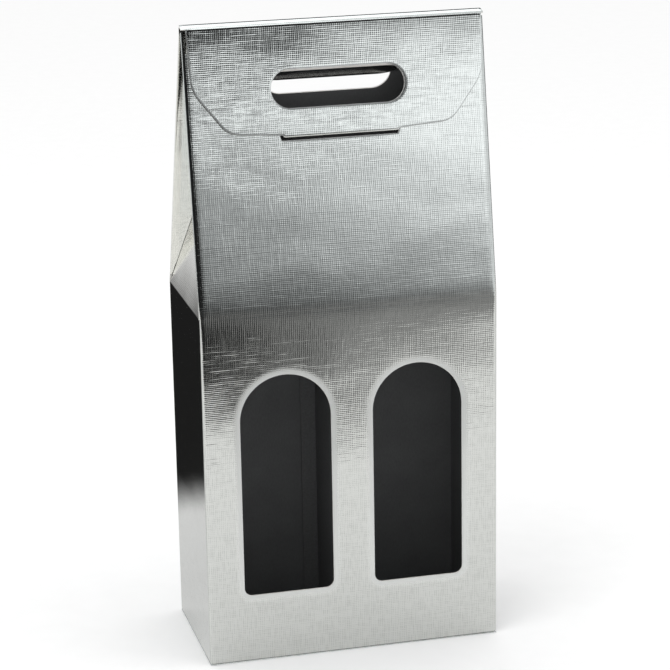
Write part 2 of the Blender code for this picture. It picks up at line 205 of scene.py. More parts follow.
def directions(points, i):
    """Directions in which a loop arrives at a point and leaves it."""
    leaving = points[(i + 1) % len(points)] - points[i]
    return (points[i] - points[i - 1]).normalized(), leaving.normalized()


def left_of(direction):
    return Vector((-direction.y, direction.x))


def edges_of(corners):
    """Each edge of an outline with its two ends."""
    return [(item, item["at"], corners[(i + 1) % len(corners)]["at"])
            for i, item in enumerate(corners)]


def inset_corners(corners, behind):
    """Corners of the boundary on the foil face, or behind it."""
    moved = []
    insets = [edge_inset(item, behind) for item in corners]
    places = [item["at"] for item in corners]
    for i, here in enumerate(places):
        arriving, leaving = directions(places, i)
        arriving_side = left_of(arriving) * insets[i - 1]
        leaving_side = left_of(leaving) * insets[i]
        cross = arriving.x * leaving.y - arriving.y * leaving.x
        if abs(cross) < PARALLEL:
            moved.append(here + arriving_side)
            continue
        offset = leaving_side - arriving_side
        along = (offset.x * leaving.y - offset.y * leaving.x) / cross
        moved.append(here + arriving_side + arriving * along)
    return moved


def stations(length, nominal, fine):
    """Shares of an edge's length at which it is cut. They lie close together near the ends of a
    fine edge, where another folded edge's section crosses it."""
    near = ROWS if fine else []
    first = near[-1] if near else 0.0
    steps = max(1, math.ceil((nominal - 2 * first) / EDGE_STEP))
    middle = [first + (length - 2 * first) * step / steps for step in range(steps)]
    away = [length - d for d in reversed(near)]
    return [d / length for d in ([0.0] + near[:-1] if near else []) + middle + away]


def boundary(corners, behind, fine=False):
    """Boundary loop of a panel, with its corners rounded and its edges cut into short steps."""
    points = inset_corners(corners, behind)
    ends = []
    arcs = []
    for i, here in enumerate(points):
        radius = corners[i]["radius"]
        if radius == 0.0:
            ends.append((here, here))
            arcs.append([])
            continue
        arriving, leaving = directions(points, i)
        turn = arriving.angle_signed(leaving)
        bend = abs(turn)
        setback = radius * math.tan(bend / 2)
        start = here - arriving * setback
        centre = start + left_of(arriving) * math.copysign(radius, -turn)
        steps = max(2, math.ceil(bend / ARC_STEP))
        arc_points = []
        for step in range(1, steps):
            swing = math.copysign(bend * step / steps, -turn)
            arc_points.append(centre + Matrix.Rotation(swing, 2) @ (start - centre))
        ends.append((start, here + leaving * setback))
        arcs.append(arc_points)
    loop = []
    for i, (item, here, after) in enumerate(edges_of(corners)):
        if arcs[i]:
            loop += [ends[i][0]] + arcs[i]
        start = ends[i][1]
        end = ends[(i + 1) % len(ends)][0]
        nominal = (after - here).length
        loop += [start.lerp(end, share) for share in stations((end - start).length, nominal, fine)]
    return loop


def offset_loop(points, distance):
    """The loop moved to its left by a distance, with mitred corners."""
    moved = []
    for i, here in enumerate(points):
        arriving, leaving = directions(points, i)
        sideways = left_of(arriving) + left_of(leaving)
        share = sideways.length_squared / 2
        moved.append(here + sideways * (distance / max(share, LEAST_MITRE)))
    return moved


def arc(centre, radius, start, sweep):
    steps = math.ceil(sweep / ARC_STEP)
    points = []
    for step in range(steps + 1):
        angle = start + sweep * step / steps
        points.append(centre + radius * Vector((math.cos(angle), math.sin(angle))))
    return points


def stepped(points):
    """A loop with its long straight stretches cut into short steps."""
    loop = []
    for i, here in enumerate(points):
        after = points[(i + 1) % len(points)]
        steps = max(1, math.ceil((after - here).length / EDGE_STEP))
        for step in range(steps):
            loop.append(here.lerp(after, step / steps))
    return loop


def stadium(middle, length, height, shift=0.0):
    end = height / 2
    reach = length / 2 - end
    outline = arc(Vector((shift + reach, middle)), end, -RIGHT_ANGLE, 2 * RIGHT_ANGLE)
    outline += arc(Vector((shift - reach, middle)), end, RIGHT_ANGLE, 2 * RIGHT_ANGLE)
    return stepped(outline)


def arched_window(middle):
    half = WINDOW_WIDTH / 2
    spring = WINDOW_TOP - half
    low = WINDOW_BOTTOM + WINDOW_CORNER
    reach = half - WINDOW_CORNER
    outline = arc(Vector((middle, spring)), half, 0.0, 2 * RIGHT_ANGLE)
    outline += arc(Vector((middle - reach, low)), WINDOW_CORNER, 2 * RIGHT_ANGLE, RIGHT_ANGLE)
    outline += arc(Vector((middle + reach, low)), WINDOW_CORNER, 3 * RIGHT_ANGLE, RIGHT_ANGLE)
    return stepped(outline)


def line_distance(points, start, end):
    """Distance of points from an endless line, positive on its left."""
    along = (end - start).normalized()
    return (points[:, 1] - start.y) * along.x - (points[:, 0] - start.x) * along.y


def as_array(points):
    return np.array([tuple(p) for p in points])


def chain_distance(points, starts, ends):
    """Least distance of each point from a set of segments."""
    least = np.full(len(points), FAR)
    for a, b in zip(starts, ends):
        along = np.array(b - a)
        origin = np.array(a)
        share = np.clip(((points - origin) @ along) / (along @ along), 0.0, 1.0)
        gap = points - origin - share[:, None] * along
        least = np.minimum(least, np.sqrt((gap ** 2).sum(1)))
    return least


def loop_distance(points, loop):
    return chain_distance(points, [loop[i - 1] for i in range(len(loop))], loop)


def inside(points, loop):
    """Which points lie inside a closed loop."""
    odd = np.zeros(len(points), bool)
    for i, b in enumerate(loop):
        a = loop[i - 1]
        if a.y == b.y:
            continue
        crosses = (points[:, 1] > min(a.y, b.y)) & (points[:, 1] <= max(a.y, b.y))
        at = a.x + (points[:, 1] - a.y) * (b.x - a.x) / (b.y - a.y)
        odd ^= crosses & (points[:, 0] < at)
    return odd


def wall_edge_drop(distance):
    """Section of a wall's upright edge, carried on past its mitre at half a right angle."""
    sine = np.clip(1.0 - distance / WALL_BEND, 0.0, math.sin(RIGHT_ANGLE / 2))
    mitre = WALL_BEND * (1.0 - math.sin(RIGHT_ANGLE / 2))
    return WALL_BEND * (1.0 - np.sqrt(1.0 - sine ** 2)) + np.maximum(mitre - distance, 0.0)


def turn_profile(share):
    """Section of a doubled edge: a slow roll that ends in a tight one. share runs from 0 to 1."""
    tight = 1.0 - np.sqrt(np.maximum(1.0 - share ** TIGHT_POWER, 0.0))
    return TURN_SLOW * share ** SLOW_POWER + (1.0 - TURN_SLOW) * tight


def drops(points, corners, outer, holes, presses):
    """How far the foil face lies behind its plane at each point, how near each is to a fold and
    how much the die has pressed it."""
    depth = np.zeros(len(points))
    folded = np.zeros(len(points))
    pressed = np.zeros(len(points))
    from_crease = np.full(len(points), FAR)
    for item, start, end in edges_of(corners):
        if item["edge"] == "crease":
            gap = line_distance(points, start, end)
            from_crease = np.minimum(from_crease, np.abs(gap))
    turn_share = np.interp(from_crease, [0.0, TURN_FADE], [0.0, 1.0])
    for item, start, end in edges_of(corners):
        if item["edge"] == "cut":
            continue
        distance = np.maximum(line_distance(points, start, end), 0.0)
        if item["edge"] == "crease":
            reach = item["bend"] * math.tan(item["fold"] / 2)
            sine = np.clip((reach - distance) / item["bend"], 0.0, 1.0)
            depth += item["bend"] * (1.0 - np.sqrt(1.0 - sine ** 2))
        else:
            near = chain_distance(points, [start], [end])
            folded = np.maximum(folded, np.clip(1.0 - near / CRINKLE_ZONE, 0.0, 1.0))
            roll = turn_profile(np.clip(1.0 - distance / TURN_WIDTH, 0.0, 1.0))
            depth += FOLD_AXIS * turn_share * roll
            depth += (1.0 - turn_share) * wall_edge_drop(distance)
    groups = {}
    for i, a in enumerate(outer):
        b = outer[(i + 1) % len(outer)]
        owner = owning_edge(corners, (a + b) / 2)
        if owner["edge"] == "cut" and owner["press"][0] > 0.0:
            groups.setdefault(owner["press"], []).append((a, b))
    for hole, press in zip(holes, presses):
        for i, a in enumerate(hole):
            groups.setdefault(press, []).append((hole[i - 1], a))
    for (press_depth, press_width), segments in groups.items():
        gap = chain_distance(points, [a for a, b in segments], [b for a, b in segments])
        share = np.clip(1.0 - gap / press_width, 0.0, 1.0)
        depth += press_depth * share ** 2
        pressed = np.maximum(pressed, share)
    return depth, folded, pressed


def owning_edge(corners, point):
    """The edge of an outline that a point on its rounded loop belongs to."""
    gaps = []
    for item, start, end in edges_of(corners):
        span = end - start
        share = min(max((point - start).dot(span) / span.length_squared, 0.0), 1.0)
        gaps.append((start + span * share - point).length)
    return corners[gaps.index(min(gaps))]


def fill_points(loops, step, clear):
    """Grid points well inside an outer loop and outside the holes."""
    xs = [p.x for p in loops[0]]
    ys = [p.y for p in loops[0]]
    grid = [(x, y) for x in np.arange(min(xs) + step / 2, max(xs), step)
            for y in np.arange(min(ys) + step / 2, max(ys), step)]
    if not grid:
        return []
    points = np.array(grid)
    keep = inside(points, loops[0])
    for hole in loops[1:]:
        keep &= ~inside(points, hole)
    for loop, margin in zip(loops, [clear] + [0.0] * len(loops)):
        keep &= loop_distance(points, loop) > margin + step * GRID_CLEAR
    return [Vector(p) for p in points[keep]]


def apart(points):
    """The points without those that repeat another."""
    tree = kdtree.KDTree(len(points))
    for i, p in enumerate(points):
        tree.insert((p.x, p.y, 0.0), i)
    tree.balance()
    return [p for i, p in enumerate(points)
            if min(found[1] for found in tree.find_range((p.x, p.y, 0.0), SAME_POINT)) == i]


def fold_rows(corners, outer, fine):
    """Points in rows beside the folded edges of a panel without bands."""
    rows = []
    points = inset_corners(corners, False)
    for i, (item, here, after) in enumerate(edges_of(corners)):
        if item["edge"] == "cut":
            continue
        start = points[i]
        span = points[(i + 1) % len(corners)] - start
        nominal = (after - here).length
        inward = left_of(span).normalized()
        for d in ROWS:
            rows += [start + span * share + inward * d
                     for share in stations(span.length, nominal, fine) + [1.0]]
    rows = apart(rows)
    if not rows:
        return []
    points = as_array(rows)
    keep = inside(points, outer) & (loop_distance(points, outer) > ROWS[0] / ROW_SLACK)
    return [Vector(p) for p in points[keep]]


def build_side(bm, loops_2d, height, flip, extra=()):
    """One face of a board: bands of quads along its edges and triangles between them. Returns
    the vertices of each outermost loop and every vertex with its flat position."""
    placed = []
    rims = []
    inner_loops = []
    inner_verts = []
    for bands in loops_2d:
        rows = []
        for loop in bands:
            heights = height(as_array(loop))
            row = [bm.verts.new((p.x, p.y, z)) for p, z in zip(loop, heights)]
            placed += [(vert, p) for vert, p in zip(row, loop)]
            rows.append(row)
        for outer, inner in zip(rows, rows[1:]):
            count = len(outer)
            for i in range(count):
                j = (i + 1) % count
                quad = (outer[i], outer[j], inner[j], inner[i])
                bm.faces.new(reversed(quad) if flip else quad)
        rims.append(rows[0])
        inner_loops.append(bands[-1])
        inner_verts.append(rows[-1])
    free = fill_points(inner_loops, GRID, ROWS[-1] if extra else 0.0) + list(extra)
    heights = height(as_array(free)) if free else []
    free_verts = [bm.verts.new((p.x, p.y, z)) for p, z in zip(free, heights)]
    placed += list(zip(free_verts, free))
    verts = [vert for row in inner_verts for vert in row] + free_verts
    flat = [p for loop in inner_loops for p in loop] + free
    edges = []
    start = 0
    for loop in inner_loops:
        count = len(loop)
        edges += [(start + i, start + (i + 1) % count) for i in range(count)]
        start += count
    result = delaunay_2d_cdt(flat, edges, [], 0, MESH_TOLERANCE)
    faces = [[result[3][k][0] for k in face] for face in result[2]]
    for group in regions(faces, edges):
        sizes = [abs(tri_area(*(flat[k] for k in faces[number]))) for number in group]
        widest = faces[group[sizes.index(max(sizes))]]
        centre = as_array([sum((flat[k] for k in widest), Vector((0.0, 0.0))) / 3])
        solid = inside(centre, inner_loops[0])[0]
        for loop in inner_loops[1:]:
            solid &= not inside(centre, loop)[0]
        if not solid or max(sizes) < SLIVER:
            continue
        for number in group:
            tri = [verts[k] for k in faces[number]]
            bm.faces.new(reversed(tri) if flip else tri)
    return rims, placed


def tri_area(a, b, c):
    return (b - a).cross(c - a) / 2


def regions(faces, edges):
    """Groups of the triangles that no outline edge parts."""
    outline = {frozenset(edge) for edge in edges}
    beside = {}
    for number, (a, b, c) in enumerate(faces):
        for edge in (frozenset((a, b)), frozenset((b, c)), frozenset((c, a))):
            if edge not in outline:
                beside.setdefault(edge, []).append(number)
    linked = [[] for face in faces]
    for pair in beside.values():
        if len(pair) == 2:
            linked[pair[0]].append(pair[1])
            linked[pair[1]].append(pair[0])
    groups = []
    seen = set()
    for start in range(len(faces)):
        if start in seen:
            continue
        seen.add(start)
        group = [start]
        for number in group:
            for other in linked[number]:
                if other not in seen:
                    seen.add(other)
                    group.append(other)
        groups.append(group)
    return groups


def mesh_of(name, bm, sharp=None):
    mesh = bpy.data.meshes.new(name)
    bm.to_mesh(mesh)
    bm.free()
    if sharp:
        mesh.set_sharp_from_angle(angle=sharp)
    return mesh


def linked(name, data):
    made = bpy.data.objects.new(name, data)
    bpy.context.scene.collection.objects.link(made)
    return made


def board(name, body, node, corners, frame_matrix, holes=(), presses=(), face=0.0,
          reach=WIDE_BANDS, foil=None, uv_shift=(0.0, 0.0), uv_sign=1.0, shift=0.0, core=None,
          lift=None, fine=False):
    """A board panel: foil face, core and liner, in place of one construction node. Bands follow
    its edges as far in as reach, and rows of points follow its folds where there are no bands.
    lift is a height that only the foil's bump takes on, as a function of the flat place."""
    outer = boundary(corners, False, fine)
    behind = boundary(corners, True, fine)
    steps = [d for d in LOOPS if d <= reach]
    front_loops = [[offset_loop(outer, d) for d in steps]]
    back_loops = [[behind]]
    for hole in holes:
        front_loops.append([offset_loop(hole, -d) for d in LOOPS])
        back_loops.append([hole])
    bm = bmesh.new()
    fold_layer = bm.verts.layers.float.new("fold")
    press_layer = bm.verts.layers.float.new("press")
    lift_layer = bm.verts.layers.float.new("lift")
    uv_layer = bm.loops.layers.uv.new("board")

    def front_height(points):
        return face - drops(points, corners, outer, holes, presses)[0]

    def back_height(points):
        return np.full(len(points), face - BOARD)

    extra = fold_rows(corners, outer, fine) if reach == NO_BANDS else ()
    front_rims, placed = build_side(bm, front_loops, front_height, False, extra)
    foil_faces = set(bm.faces)
    back_rims, back_placed = build_side(bm, back_loops, back_height, True)
    liner_faces = set(bm.faces) - foil_faces
    for front, back in zip(front_rims, back_rims):
        for i in range(len(front)):
            bm.faces.new((front[i - 1], back[i - 1], back[i], front[i]))
    points = as_array(p for vert, p in placed)
    folded, pressed = drops(points, corners, outer, holes, presses)[1:]
    for (vert, p), near_fold, near_cut in zip(placed, folded, pressed):
        vert[fold_layer] = near_fold
        vert[press_layer] = near_cut
        vert[lift_layer] = lift(p) if lift else 0.0
    flat = {vert: p for vert, p in placed + back_placed}
    for item in bm.faces:
        item.smooth = True
        item.material_index = 0 if item in foil_faces else 2 if item in liner_faces else 1
        for loop in item.loops:
            p = flat[loop.vert]
            loop[uv_layer].uv = (uv_sign * p.x + uv_shift[0], uv_sign * p.y + uv_shift[1])
    bmesh.ops.recalc_face_normals(bm, faces=bm.faces)
    mesh = mesh_of(name, bm, BOARD_SHARP)
    for chosen in (foil or foil_material, core or core_material, liner_material):
        mesh.materials.append(chosen)
    made = linked(name, mesh)
    made.matrix_world = frame_matrix @ Matrix.Translation((shift, 0.0, 0.0))
    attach(made, body)
    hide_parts(node)


def crease_frame(heading, lean, at):
    turn = Matrix.Rotation(heading, 4, "Z") @ Matrix.Rotation(RIGHT_ANGLE - lean, 4, "X")
    return Matrix.Translation(at) @ turn


# Materials

class Nodes:
    """A material's node tree, with short calls for the nodes that these materials use."""

    def __init__(self, name):
        self.material = bpy.data.materials.new(name)
        self.material.use_nodes = True
        self.tree = self.material.node_tree
        self.shader = self.tree.nodes["Principled BSDF"]

    def add(self, kind, inputs=None, **settings):
        node = self.tree.nodes.new("ShaderNode" + kind)
        for key, value in settings.items():
            setattr(node, key, value)
        for key, value in (inputs or {}).items():
            if isinstance(value, bpy.types.NodeSocket):
                self.tree.links.new(value, node.inputs[key])
            else:
                node.inputs[key].default_value = value
        return node

    def math(self, operation, a, b=0.0):
        return self.add("Math", {0: a, 1: b}, operation=operation).outputs[0]

    def times(self, a, b):
        return self.math("MULTIPLY", a, b)

    def plus(self, a, b):
        return self.math("ADD", a, b)

    def ramp(self, value, low, high, to_low=0.0, to_high=1.0, smooth=True):
        node = self.add("MapRange", {"Value": value, "From Min": low, "From Max": high,
                                     "To Min": to_low, "To Max": to_high})
        node.interpolation_type = "SMOOTHSTEP" if smooth else "LINEAR"
        return node.outputs["Result"]

    def noise(self, vector, scale_x, scale_y, detail=2.0, roughness=0.5, shift=0.0):
        mapped = self.add("Mapping", {"Vector": vector, "Location": (shift, shift, 0.0),
                                      "Scale": (scale_x, scale_y, 1.0)}).outputs[0]
        settings = {"Vector": mapped, "Scale": 1.0, "Detail": detail, "Roughness": roughness}
        return self.add("TexNoise", settings, noise_dimensions="2D").outputs[0]

    def grain(self, scale, detail=2.0):
        coords = self.add("TexCoord").outputs["Object"]
        settings = {"Vector": coords, "Scale": scale, "Detail": detail}
        return self.add("TexNoise", settings).outputs[0]

    def vector(self, operation, a, b):
        return self.add("VectorMath", {0: a, 1: b}, operation=operation).outputs[0]

    def attribute(self, name):
        return self.add("Attribute", attribute_name=name).outputs["Fac"]

    def uv(self):
        return self.add("UVMap", uv_map="board").outputs[0]

    def tone(self, share, dark, light):
        return self.add("Mix", {"Factor": share, "A": dark, "B": light},
                        data_type="RGBA").outputs["Result"]

    def bump(self, height, distance=1.0, strength=1.0, **under):
        inputs = {"Height": height, "Strength": strength, "Distance": distance, **under}
        return self.add("Bump", inputs).outputs[0]

    def surface(self, tone, roughness, normal=None, metallic=0.0):
        """Give the shader its values, and return the material."""
        self.shader.inputs["Metallic"].default_value = metallic
        for socket, value in (("Base Color", tone), ("Roughness", roughness), ("Normal", normal)):
            if isinstance(value, bpy.types.NodeSocket):
                self.tree.links.new(value, self.shader.inputs[socket])
            elif value is not None:
                self.shader.inputs[socket].default_value = value
        return self.material


THREAD = 0.00115  # pitch of the linen threads
EMBOSS = 0.000034  # height of the emboss
SLUB = 0.0100  # length over which a thread keeps its thickness
SLUB_SHARE = 0.36  # share of the emboss that comes from the slubs
SLUB_EDGES = (0.36, 0.64)
BOLD_EDGES = (0.58, 0.72)  # noise levels between which a thread turns bold
BOLD = 1.9
SWAY = 0.0007  # how far the threads wander, over the next length
SWAY_LENGTH = 0.020
CRINKLE = 0.8  # height of the crinkles at a turned edge, in embosses
CRINKLE_SIZE = (0.0045, 0.0007)
CRINKLE_EDGES = (0.62, 0.76)
WAVE = 0.00040  # height of the board's slow waves
WAVE_SIZE = (0.05, 0.035)
RAISED_EDGES = (0.15, 0.60)  # emboss heights between which the foil's tone turns light: a painted sheen on the raised threads
PRESSED_EMBOSS = 0.3  # share of the emboss that is left where the die pressed
RIM_EDGE = 0.85
FOIL_ROUGHNESS = (0.10, 0.42)  # plain foil and pressed rim
BASE_ROUGHNESS = 0.20
FOIL_DARK = (0.487, 0.497, 0.477, 1.0)
FOIL_LIGHT = (0.613, 0.623, 0.60, 1.0)
# Lighter tone of the die-pressed rims: partly the rougher pressed foil, partly a painted highlight
FOIL_PRESSED_HIGHLIGHT = (0.72, 0.73, 0.71, 1.0)
# Painted light: the leaves take a lighter copy of the foil, standing in for the bright floor they
# reflect
LEAF_LIT_DARK = (0.62, 0.62, 0.595, 1.0)
LEAF_LIT_LIGHT = (0.72, 0.72, 0.69, 1.0)
# Painted light: the tucked triangles take a much lighter copy of the foil, standing in for the
# light they reflect
TRIANGLE_LIT_DARK = (0.80, 0.80, 0.775, 1.0)
TRIANGLE_LIT_LIGHT = (0.92, 0.92, 0.89, 1.0)
LEAF_EMBOSS = 0.000012
# Painted shade: a much darker copy of the foil for the hand hole tab, which lies in the shade of
# the hole
SHADED_DARK = (0.13, 0.132, 0.128, 1.0)
SHADED_LIGHT = (0.20, 0.203, 0.197, 1.0)
CORE_DARK = (0.62, 0.61, 0.58, 1.0)
CORE_LIGHT = (0.86, 0.85, 0.82, 1.0)
# Painted shade: a dark copy of the white core for the closing flap's cut edges, where they lie in
# shade over the front roof panel
FLAP_EDGE_SHADE_DARK = (0.10, 0.10, 0.10, 1.0)
FLAP_EDGE_SHADE_LIGHT = (0.24, 0.24, 0.23, 1.0)
LINER_DARK = (0.085, 0.088, 0.090, 1.0)
LINER_LIGHT = (0.165, 0.168, 0.170, 1.0)
LINER_ROUGHNESS = 0.78
LINER_BUMP = (0.00006, 0.5)  # distance and strength
CORE_ROUGHNESS = 0.85
CORE_BUMP = (0.0001, 0.6)
ROOF_BOW = math.radians(4.4)  # the board of the roof bows out by this much over its length
ROOF_SET = math.radians(-1.3)  # tilt that goes with the bow at the roof's lower end


def threads(n, vector):
    """Height of the linen emboss, from 0 to 1: a close grid of weft and warp threads, with
    thick and thin stretches along each."""
    sway = n.add("TexNoise", {"Vector": vector, "Scale": 1.0 / SWAY_LENGTH, "Detail": 2.0},
                 noise_dimensions="2D").outputs[1]
    sway = n.vector("SUBTRACT", sway, (0.5, 0.5, 0.5))
    cloth = n.vector("ADD", vector, n.vector("MULTIPLY", sway, (SWAY, SWAY, 0.0)))
    split = n.add("SeparateXYZ", {0: cloth})
    height = None
    for across, scale_x, scale_y, weight, shift in (
            (1, 1.0 / SLUB, 1.0 / THREAD, 0.40, 0.0), (0, 1.0 / THREAD, 1.3 / SLUB, 0.60, 7.3)):
        phase = n.times(split.outputs[across], 2.0 * math.pi / THREAD)
        ridge = n.ramp(n.math("SINE", phase), -1.0, 1.0, 0.0, weight * (1.0 - SLUB_SHARE), False)
        slub = n.ramp(n.noise(cloth, scale_x, scale_y, 1.0, 0.5, shift), *SLUB_EDGES, 0.0,
                      weight * SLUB_SHARE)
        bold = n.ramp(n.noise(cloth, scale_x * 0.45, scale_y * 0.45, 1.0, 0.5, shift + 3.1),
                      *BOLD_EDGES, 1.0, BOLD)
        thread = n.plus(n.times(ridge, bold), slub)
        height = n.plus(height, thread) if height else thread
    return height


def roof_bow(n, uv):
    """Height of the bow of the roof's boards, which starts at the roof crease."""
    up = n.add("SeparateXYZ", {0: uv}).outputs[1]
    along = n.math("MAXIMUM", n.math("SUBTRACT", up, WALL_HEIGHT), 0.0)
    slope = ROOF_BOW / FRONT_ROOF_LENGTH / 2
    bow = n.times(n.times(along, along), -slope)
    return n.math("SUBTRACT", bow, n.times(along, ROOF_SET))


def make_foil(name, dark, light, emboss=EMBOSS):
    n = Nodes(name)
    uv = n.uv()
    linen = threads(n, uv)
    press = n.attribute("press")
    crinkle = n.noise(uv, 1.0 / CRINKLE_SIZE[0], 1.0 / CRINKLE_SIZE[1], 2.0, 0.6, 1.7)
    crinkle = n.times(n.ramp(crinkle, *CRINKLE_EDGES), n.times(n.attribute("fold"), CRINKLE))
    height = n.plus(linen, crinkle)
    wave = n.noise(uv, 1.0 / WAVE_SIZE[0], 1.0 / WAVE_SIZE[1], 1.0, 0.4, 5.9)
    broad = n.plus(roof_bow(n, uv), n.times(wave, WAVE))
    broad = n.plus(broad, n.attribute("lift"))
    depth = n.ramp(press, 0.0, 1.0, emboss, emboss * PRESSED_EMBOSS, False)
    normal = n.bump(n.times(height, depth), Normal=n.bump(broad))
    # The pressed rim turns rougher and lighter in tone; the lighter tone is partly a painted
    # highlight.
    rim = n.ramp(press, 0.0, RIM_EDGE)
    # The raised threads' lighter tone is a painted sheen.
    tone = n.tone(rim, n.tone(n.ramp(linen, *RAISED_EDGES), dark, light), FOIL_PRESSED_HIGHLIGHT)
    return n.surface(tone, n.ramp(rim, 0.0, 1.0, *FOIL_ROUGHNESS, False), normal, 1.0)


def make_core(name, dark, light):
    n = Nodes(name)
    fibre = n.grain(900.0, 3.0)
    return n.surface(n.tone(fibre, dark, light), CORE_ROUGHNESS, n.bump(fibre, *CORE_BUMP))


def make_liner():
    n = Nodes("grey_board_liner")
    uv = n.uv()
    grain = n.noise(uv, 1.0 / 0.0009, 1.0 / 0.0022, 4.0, 0.65)
    cloud = n.noise(uv, 1.0 / 0.020, 1.0 / 0.020, 3.0, 0.5, 2.2)
    mixed = n.plus(n.times(grain, 0.6), n.times(cloud, 0.4))
    return n.surface(n.tone(mixed, LINER_DARK, LINER_LIGHT), LINER_ROUGHNESS,
                     n.bump(grain, *LINER_BUMP))


def make_inner():
    n = Nodes("grey_board_inner")
    grain = n.grain(800.0, 4.0)
    return n.surface(n.tone(grain, LINER_DARK, LINER_LIGHT), LINER_ROUGHNESS,
                     n.bump(grain, *LINER_BUMP))


def make_base():
    n = Nodes("silver_foil_base")
    linen = threads(n, n.add("TexCoord").outputs["Object"])
    # The raised threads are lighter in tone: a painted sheen.
    return n.surface(n.tone(linen, FOIL_DARK, FOIL_LIGHT), BASE_ROUGHNESS,
                     n.bump(linen, EMBOSS), 1.0)


foil_material = make_foil("silver_foil_linen", FOIL_DARK, FOIL_LIGHT)
lit_leaf_foil_material = make_foil("silver_foil_of_leaves_painted_light", LEAF_LIT_DARK, LEAF_LIT_LIGHT, LEAF_EMBOSS)
lit_triangle_foil_material = make_foil("silver_foil_of_triangles_painted_light", TRIANGLE_LIT_DARK, TRIANGLE_LIT_LIGHT,
                                   LEAF_EMBOSS)
shaded_foil_material = make_foil("silver_foil_in_shade", SHADED_DARK, SHADED_LIGHT)
core_material = make_core("white_board_core", CORE_DARK, CORE_LIGHT)
shaded_core_material = make_core("board_core_painted_shade", FLAP_EDGE_SHADE_DARK, FLAP_EDGE_SHADE_LIGHT)
liner_material = make_liner()
inner_material = make_inner()
base_material = make_base()


# The box

def wall(name, node, half_span, heading, at, roof_fold, roof_bend, windows=(), along=0.0):
    corners = [crease(-half_span, 0.0, RIGHT_ANGLE, BASE_BEND),
               crease(half_span, 0.0, RIGHT_ANGLE, WALL_BEND),
               crease(half_span, WALL_HEIGHT, roof_fold, roof_bend),
               crease(-half_span, WALL_HEIGHT, RIGHT_ANGLE, WALL_BEND)]
    board(name, "box", node, corners, crease_frame(heading, 0.0, at), windows,
          [HOLE_PRESS] * len(windows), reach=NO_BANDS, uv_shift=(along, 0.0), fine=True)


def gusset_lean():
    """Lean of the tucked triangle, from the direction of its node's foil face."""
    polygons = frame["nodes"]["left_gusset_triangle"].data.polygons
    normal = max(polygons, key=lambda item: item.area).normal
    return math.atan2(abs(normal.z), abs(normal.x))


GUSSET_LEAN = gusset_lean()


def box_walls():
    windows = [arched_window(-WINDOW_SPACING / 2), arched_window(WINDOW_SPACING / 2)]
    wall("front_wall_board", "front_wall", HALF_WIDTH, FRONT, (0.0, -HALF_DEPTH, 0.0), FRONT_LEAN,
         FRONT_ROOF_BEND, windows)
    wall("back_wall_board", "back_wall", HALF_WIDTH, BACK, (0.0, HALF_DEPTH, 0.0), BACK_LEAN,
         BACK_ROOF_BEND, along=2 * HALF_ROUND)
    for side in (LEFT, RIGHT):
        name = SIDE_NAME[side] + "_side_wall"
        wall(name + "_board", name, HALF_DEPTH, SIDE[side], (side * HALF_WIDTH, 0.0, 0.0),
             GUSSET_LEAN, GUSSET_BEND, along=side * HALF_ROUND)


# The roof

def front_roof():
    top = FRONT_ROOF_LENGTH - FRONT_PANEL_DROP
    corners = [crease(-HALF_WIDTH, 0.0, FRONT_LEAN, FRONT_ROOF_BEND), turned(HALF_WIDTH, 0.0),
               corner(HALF_WIDTH, top), turned(-HALF_WIDTH, top)]
    hole = stadium(FRONT_ROOF_LENGTH - HOLE_DROP, HOLE_LENGTH, HOLE_HEIGHT)
    half = TAB_WIDTH / 2 + TAB_END_CLEARANCE
    low = FRONT_ROOF_LENGTH - FLAP_LENGTH - TAB_LOWER_CLEARANCE
    high = FRONT_ROOF_LENGTH - FLAP_LENGTH + BOARD + TAB_UPPER_CLEARANCE
    slit = stepped([Vector((-half, low)), Vector((half, low)), Vector((half + SLIT_SLANT, high)),
                    Vector((-half - SLIT_SLANT, high))])
    at = (0.0, -HALF_DEPTH, WALL_HEIGHT)
    board("front_roof_board", "front_roof", "front_roof_panel", corners,
          crease_frame(FRONT, FRONT_LEAN, at), [hole, slit], [GRIP_PRESS, EDGE_PRESS],
          reach=NO_BANDS, uv_shift=(0.0, WALL_HEIGHT), fine=True)


def back_roof():
    corners = [crease(-HALF_WIDTH, 0.0, BACK_LEAN, BACK_ROOF_BEND), turned(HALF_WIDTH, 0.0),
               crease(HALF_WIDTH, BACK_ROOF_LENGTH, RIDGE_LEAN - BACK_LEAN, RIDGE_BEND),
               turned(-HALF_WIDTH, BACK_ROOF_LENGTH)]
    hole = stadium(BACK_ROOF_LENGTH - BACK_HOLE_DROP, BACK_HOLE_LENGTH, BACK_HOLE_HEIGHT)
    board("back_roof_board", "back_roof", "back_roof_panel", corners,
          crease_frame(BACK, BACK_LEAN, back_crease), [hole], [GRIP_PRESS], reach=NO_BANDS,
          uv_shift=(2 * HALF_ROUND, WALL_HEIGHT), fine=True)


def ridge():
    corners = [crease(-HALF_WIDTH, 0.0, RIDGE_LEAN - BACK_LEAN, RIDGE_BEND),
               corner(HALF_WIDTH, 0.0),
               crease(HALF_WIDTH, RIDGE_WIDTH, FLAP_LEAN - RIDGE_LEAN, FLAP_BEND),
               corner(-HALF_WIDTH, RIDGE_WIDTH)]
    board("ridge_strip_board", "ridge", "ridge_strip", corners,
          crease_frame(BACK, RIDGE_LEAN, ridge_back), reach=NARROW_BANDS,
          lift=lambda p: -RIDGE_ROLL * max(ROLL_WIDTH - p.y, 0.0),
          uv_shift=(2 * HALF_ROUND, WALL_HEIGHT + BACK_ROOF_LENGTH))


